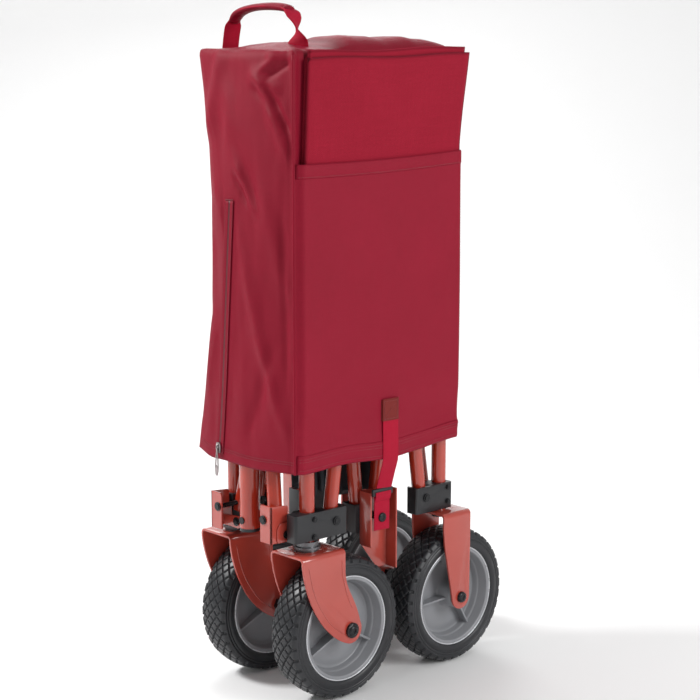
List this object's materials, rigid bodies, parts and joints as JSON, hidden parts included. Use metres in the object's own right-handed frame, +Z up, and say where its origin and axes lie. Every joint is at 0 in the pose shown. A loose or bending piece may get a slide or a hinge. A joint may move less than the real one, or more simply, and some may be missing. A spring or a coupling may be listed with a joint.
{
  "type": "folding wagon in storage cover",
  "caption": "Folding wagon stood upright on its wheels in a fabric storage cover, with a telescopic pull handle, swivel casters, floor board pocket and closing strap.",
  "frame": {"origin": "on the floor, midway under the folded wagon", "axes": "+X to the rear of the wagon, -Y its left side with the pocket, +Z up"},
  "size_m": [0.3856, 0.207, 0.8515],
  "materials": {
    "frame_paint": "satin powder coat",
    "handle_steel": "satin powder coat",
    "tyre": "matte rubber with block tread",
    "hub_plastic": "satin moulded grey",
    "black_plastic": "fine moulded grain",
    "fastener": "black zinc",
    "cover_fabric": "coated plain-weave polyester",
    "mat_fabric": "coarse coated weave",
    "tub_fabric": "coarse coated weave",
    "webbing": "ribbed webbing",
    "hook_tape": "hook tape"
  },
  "bodies": {
    "frame": {"bottom_hubs": "black_plastic", "bracket_screws": "fastener", "centre_legs": "frame_paint", "corner_sliders": "black_plastic", "cross_rivets": "fastener", "fabric_tub": "tub_fabric", "front_corner_brackets": "black_plastic", "front_cross_tubes": "frame_paint", "handle_brackets": "frame_paint", "handle_collar": "black_plastic", "handle_end_cap": "black_plastic", "handle_outer_tube": "frame_paint", "handle_pivot_plate": "frame_paint", "post_bolts": "fastener", "post_caps": "black_plastic", "post_front_left": "frame_paint", "post_front_right": "frame_paint", "post_rear_left": "frame_paint", "post_rear_right": "frame_paint", "rear_axle_bolts": "fastener", "rear_corner_brackets": "black_plastic", "rear_cross_tubes": "frame_paint", "rear_fork_left": "frame_paint", "rear_fork_right": "frame_paint", "side_rivets": "fastener", "side_tube_left_1": "frame_paint", "side_tube_left_2": "frame_paint", "side_tube_left_3": "frame_paint", "side_tube_left_4": "frame_paint", "side_tube_right_1": "frame_paint", "side_tube_right_2": "frame_paint", "side_tube_right_3": "frame_paint", "side_tube_right_4": "frame_paint", "strap_lower": "webbing", "strap_rivet": "fastener", "strap_slide": "black_plastic", "swivel_bearings": "black_plastic", "top_hubs": "black_plastic"},
    "caster_left": {"caster_fork_left": "frame_paint", "caster_axle_left": "fastener"},
    "caster_right": {"caster_fork_right": "frame_paint", "caster_axle_right": "fastener"},
    "wheel_front_left": {"tyre_front_left": "tyre", "wheel_hub_front_left": "hub_plastic"},
    "wheel_front_right": {"tyre_front_right": "tyre", "wheel_hub_front_right": "hub_plastic"},
    "wheel_rear_left": {"tyre_rear_left": "tyre", "wheel_hub_rear_left": "hub_plastic"},
    "wheel_rear_right": {"tyre_rear_right": "tyre", "wheel_hub_rear_right": "hub_plastic"},
    "handle_inner": {"handle_inner_tube": "handle_steel", "handle_grip": "black_plastic"},
    "cover": {"cover_shell": "cover_fabric", "side_pocket": "cover_fabric", "hook_patch": "hook_tape", "zip_track": "cover_fabric"},
    "mat": {"floor_mat": "mat_fabric"},
    "zip_pull": {"zip_slider": "fastener"},
    "carry_loop": {"carry_handle": "webbing"},
    "strap_flap": {"strap_upper": "webbing"}
  },
  "joints": [
    {"name": "caster_swivel_left", "type": "hinge", "parent": "frame", "child": "caster_left", "pos_m": [-0.1425, -0.069, 0.2], "axis": [0, 0, -1], "range_deg": [-10, 190]},
    {"name": "caster_swivel_right", "type": "hinge", "parent": "frame", "child": "caster_right", "pos_m": [-0.1425, 0.069, 0.2], "axis": [0, 0, 1], "range_deg": [-10, 190]},
    {"name": "wheel_spin_front_left", "type": "hinge", "parent": "caster_left", "child": "wheel_front_left", "pos_m": [-0.096, -0.069, 0.09], "axis": [0, 1, 0], "continuous": true},
    {"name": "wheel_spin_front_right", "type": "hinge", "parent": "caster_right", "child": "wheel_front_right", "pos_m": [-0.096, 0.069, 0.09], "axis": [0, 1, 0], "continuous": true},
    {"name": "wheel_spin_rear_left", "type": "hinge", "parent": "frame", "child": "wheel_rear_left", "pos_m": [0.1, -0.069, 0.09], "axis": [0, 1, 0], "continuous": true},
    {"name": "wheel_spin_rear_right", "type": "hinge", "parent": "frame", "child": "wheel_rear_right", "pos_m": [0.1, 0.069, 0.09], "axis": [0, 1, 0], "continuous": true},
    {"name": "cover_lift", "type": "slide", "parent": "frame", "child": "cover", "axis": [0, 0, 1], "range_m": [0, 0.6]},
    {"name": "handle_extend", "type": "slide", "parent": "frame", "child": "handle_inner", "axis": [0, 0, 1], "range_m": [0, 0.3]},
    {"name": "mat_draw", "type": "slide", "parent": "cover", "child": "mat", "axis": [0, 0, 1], "range_m": [0, 0.3]},
    {"name": "zip_run", "type": "slide", "parent": "cover", "child": "zip_pull", "axis": [-0.0055, -0.0794, 0.9968], "range_m": [0, 0.295]},
    {"name": "carry_flop", "type": "hinge", "parent": "cover", "child": "carry_loop", "pos_m": [-0.136, 0.014, 0.7973], "axis": [0, 1, 0], "range_deg": [-50, 50]},
    {"name": "strap_peel", "type": "hinge", "parent": "frame", "child": "strap_flap", "pos_m": [-0.032, -0.0892, 0.2588], "axis": [1, 0, 0], "range_deg": [0, 150]}
  ],
  "couplings": [
    {"joint": "handle_extend", "follows": "cover_lift", "ratio": 0.5}
  ]
}
